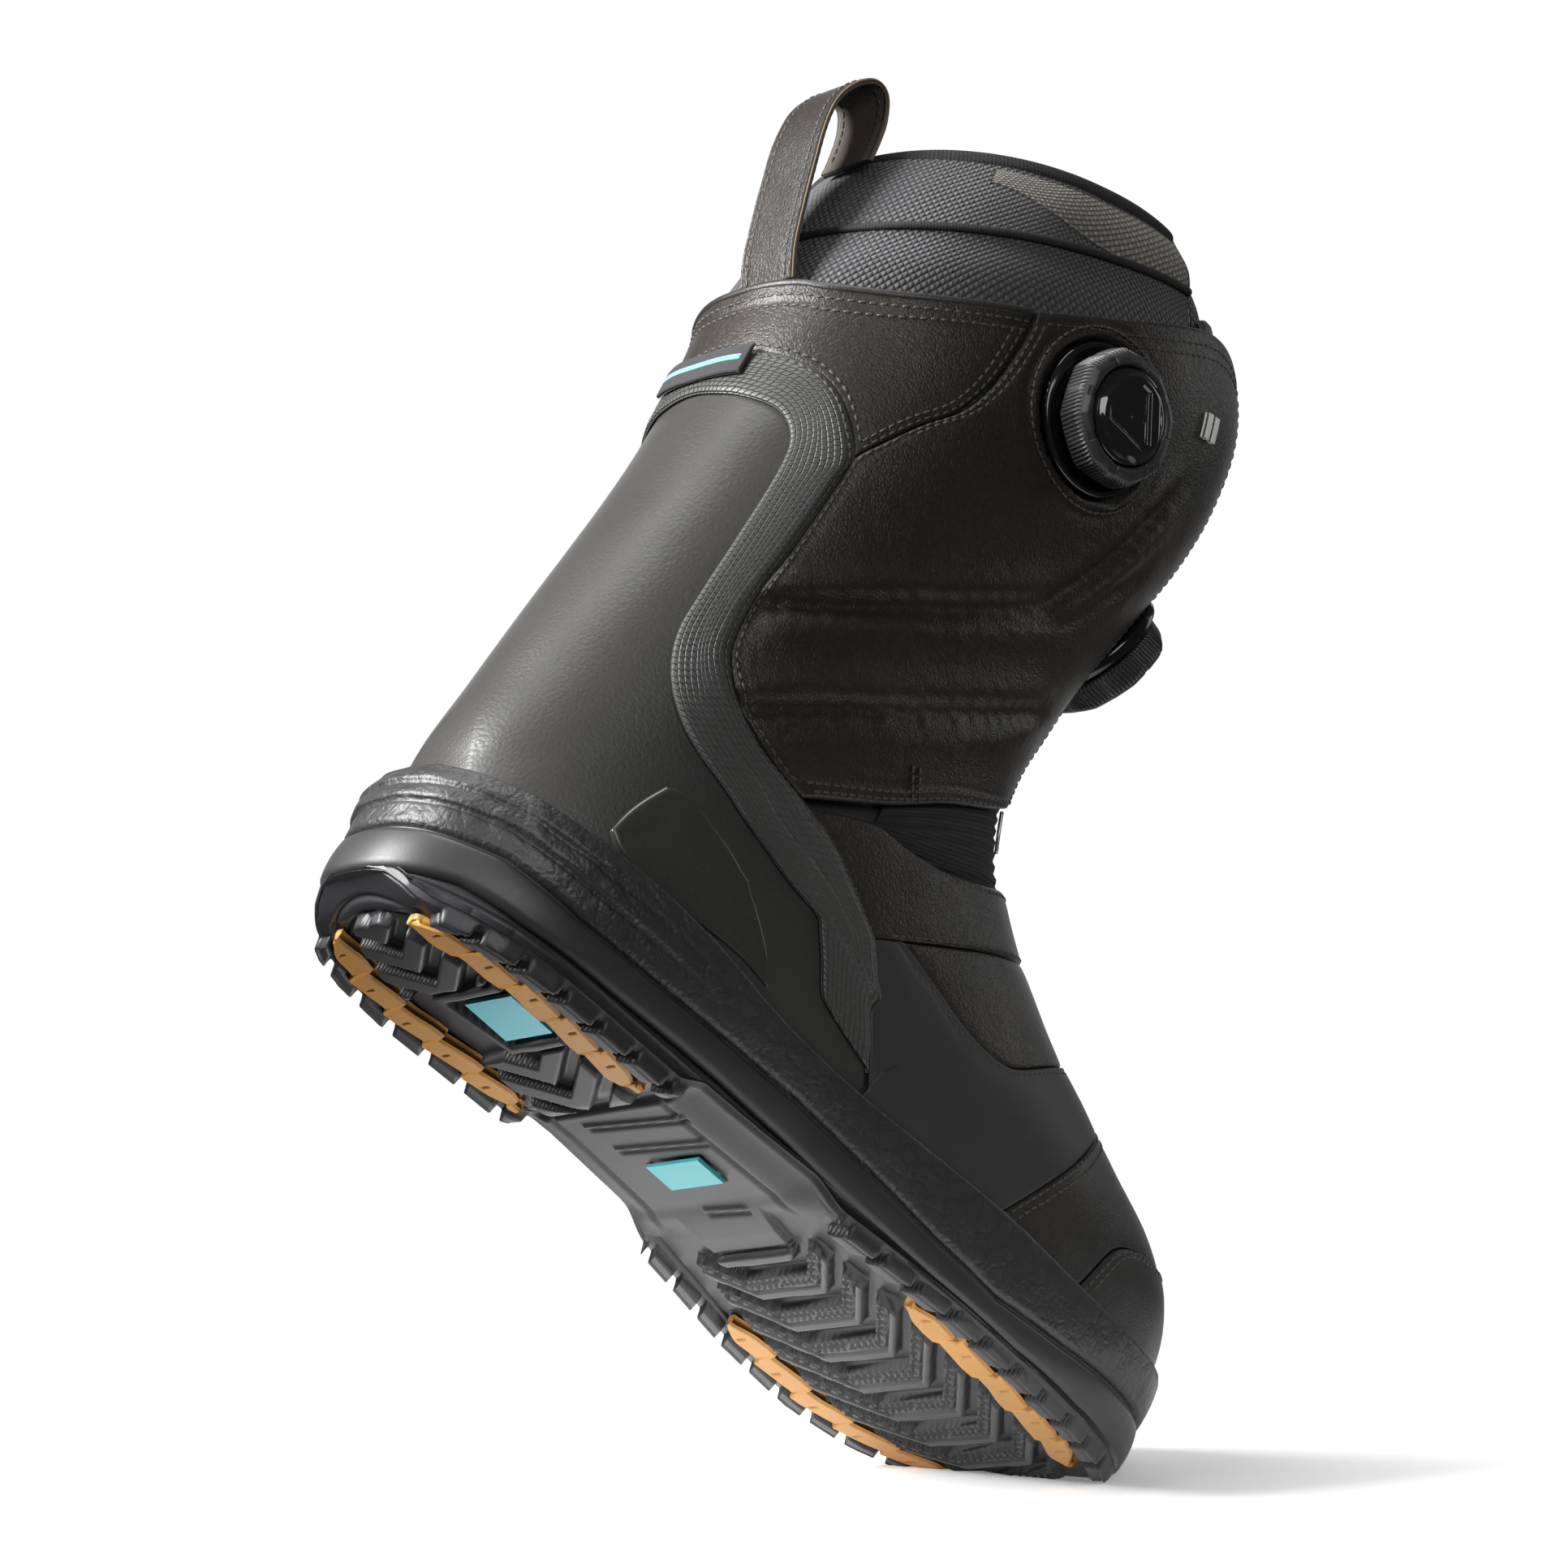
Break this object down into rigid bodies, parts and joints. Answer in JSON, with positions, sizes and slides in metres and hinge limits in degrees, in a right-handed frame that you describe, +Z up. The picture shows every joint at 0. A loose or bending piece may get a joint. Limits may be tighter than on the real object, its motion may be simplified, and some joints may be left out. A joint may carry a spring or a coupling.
{
  "type": "snowboard boot",
  "caption": "Right snowboard boot with two lacing dials, hinged cuff flaps, stretch gusset, knit inner boot, heel pull loop and lugged sole with soft grip strips.",
  "frame": {"origin": "centre of the boot's footprint box, on the ground plane under the sole", "axes": "+X towards the toe, +Y towards the medial (inner) side of this right boot, +Z up"},
  "size_m": [0.3036, 0.1295, 0.3322],
  "materials": {
    "leather": "soft black-brown synthetic leather, fine grain",
    "counter_leather": "pebble-grained moulded counter, satin",
    "band": "grid-textured moulded TPU",
    "ankle_plate": "smooth polished patch",
    "rubber": "black outsole rubber",
    "midsole_foam": "moulded EVA with leather-like texture",
    "gum": "gum-coloured grip rubber",
    "teal": "translucent teal TPU",
    "knit": "three-dimensional knit liner",
    "binding": "folded edge binding",
    "stretch": "ribbed stretch fabric",
    "textile": "fine coated textile",
    "strap": "strap faced with leather, lined with grosgrain",
    "label": "woven tab",
    "badge": "raised light plate",
    "dial_rubber": "ribbed grip",
    "dial_gloss": "glossy black",
    "dial_housing": "glossy black housing",
    "dial_inner": "glass-filled nylon",
    "steel": "stainless steel",
    "tongue_shell": "padded tongue, black",
    "guide": "moulded lace guide",
    "board": "fibre lasting board",
    "shank": "glass-nylon shank",
    "footbed": "brushed fabric on foam"
  },
  "bodies": {
    "boot": {"outsole": "rubber", "heel_grip_lateral": "gum", "heel_grip_medial": "gum", "forefoot_grip_lateral": "gum", "forefoot_grip_medial": "gum", "heel_window": "teal", "arch_plate": "teal", "midsole": "midsole_foam", "shank": "shank", "insole_board": "board", "footbed": "footbed", "heel_counter": "counter_leather", "counter_band": "band", "ankle_patch_lateral": "ankle_plate", "ankle_patch_medial": "ankle_plate", "collar_panel": "leather", "ankle_panel": "leather", "instep_panel": "leather", "quarter_wrap": "textile", "vamp": "leather", "toe_cap": "leather", "stretch_gusset": "stretch", "woven_label": "label", "liner_body": "knit", "liner_binding": "binding"},
    "lateral_flap": {"cuff_flap_lateral": "leather", "cuff_badge": "badge", "lace_guide_lateral_upper": "guide", "lace_guide_lateral_middle": "guide", "lace_guide_lateral_lower": "guide", "upper_dial_base": "dial_housing"},
    "medial_flap": {"cuff_flap_medial": "leather", "lace_guide_medial_upper": "guide", "lace_guide_medial_middle": "guide", "lace_guide_medial_lower": "guide"},
    "tongue": {"shell_tongue": "tongue_shell", "liner_tongue": "knit", "tongue_binding": "binding", "lace_upper": "steel", "lace_middle": "steel", "lace_lower": "steel", "front_dial_base": "dial_housing"},
    "upper_dial_slider": {"upper_dial_ratchet_ring": "dial_inner"},
    "upper_dial_knob": {"upper_dial_grip_ring": "dial_rubber", "upper_dial_cap": "dial_gloss", "upper_dial_screw": "steel"},
    "upper_dial_reel": {"upper_dial_spool": "dial_inner"},
    "front_dial_slider": {"front_dial_ratchet_ring": "dial_inner"},
    "front_dial_knob": {"front_dial_grip_ring": "dial_rubber", "front_dial_cap": "dial_gloss", "front_dial_screw": "steel"},
    "front_dial_reel": {"front_dial_spool": "dial_inner"},
    "pull_loop": {"pull_loop": "strap"}
  },
  "joints": [
    {"name": "lateral_flap_open", "type": "hinge", "parent": "boot", "child": "lateral_flap", "pos_m": [-0.1062, -0.03744, 0.15], "axis": [-0.0398, 0.0896, -0.9952], "range_deg": [0, 18]},
    {"name": "medial_flap_open", "type": "hinge", "parent": "boot", "child": "medial_flap", "pos_m": [-0.1062, 0.05257, 0.15], "axis": [0.0398, 0.0896, 0.9952], "range_deg": [0, 18]},
    {"name": "tongue_flex", "type": "hinge", "parent": "boot", "child": "tongue", "pos_m": [0.0118, 0.00957, 0.146], "axis": [0, 1, 0], "range_deg": [0, 5.4]},
    {"name": "upper_dial_pull", "type": "slide", "parent": "lateral_flap", "child": "upper_dial_slider", "axis": [0.096, -0.9916, -0.0868], "range_m": [0, 0.0035]},
    {"name": "upper_dial_turn", "type": "hinge", "parent": "upper_dial_slider", "child": "upper_dial_knob", "pos_m": [-0.04458, -0.04748, 0.24596], "axis": [0.096, -0.9916, -0.0868], "continuous": true},
    {"name": "upper_dial_wind", "type": "hinge", "parent": "lateral_flap", "child": "upper_dial_reel", "pos_m": [-0.04458, -0.04748, 0.24596], "axis": [0.096, -0.9916, -0.0868], "continuous": true},
    {"name": "front_dial_pull", "type": "slide", "parent": "tongue", "child": "front_dial_slider", "axis": [0.9777, 0, -0.2102], "range_m": [0, 0.0035]},
    {"name": "front_dial_turn", "type": "hinge", "parent": "front_dial_slider", "child": "front_dial_knob", "pos_m": [0.02139, 0.00712, 0.22966], "axis": [0.9777, 0, -0.2102], "continuous": true},
    {"name": "front_dial_wind", "type": "hinge", "parent": "tongue", "child": "front_dial_reel", "pos_m": [0.02139, 0.00712, 0.22966], "axis": [0.9777, 0, -0.2102], "continuous": true},
    {"name": "pull_loop_fold", "type": "hinge", "parent": "boot", "child": "pull_loop", "pos_m": [-0.1342, -0.00144, 0.231], "axis": [0, -1, 0], "range_deg": [0, 55]}
  ],
  "couplings": [
    {"joint": "medial_flap_open", "follows": "lateral_flap_open", "ratio": 1},
    {"joint": "tongue_flex", "follows": "lateral_flap_open", "ratio": 0.3},
    {"joint": "upper_dial_wind", "follows": "upper_dial_turn", "ratio": 1},
    {"joint": "front_dial_wind", "follows": "front_dial_turn", "ratio": 1}
  ]
}
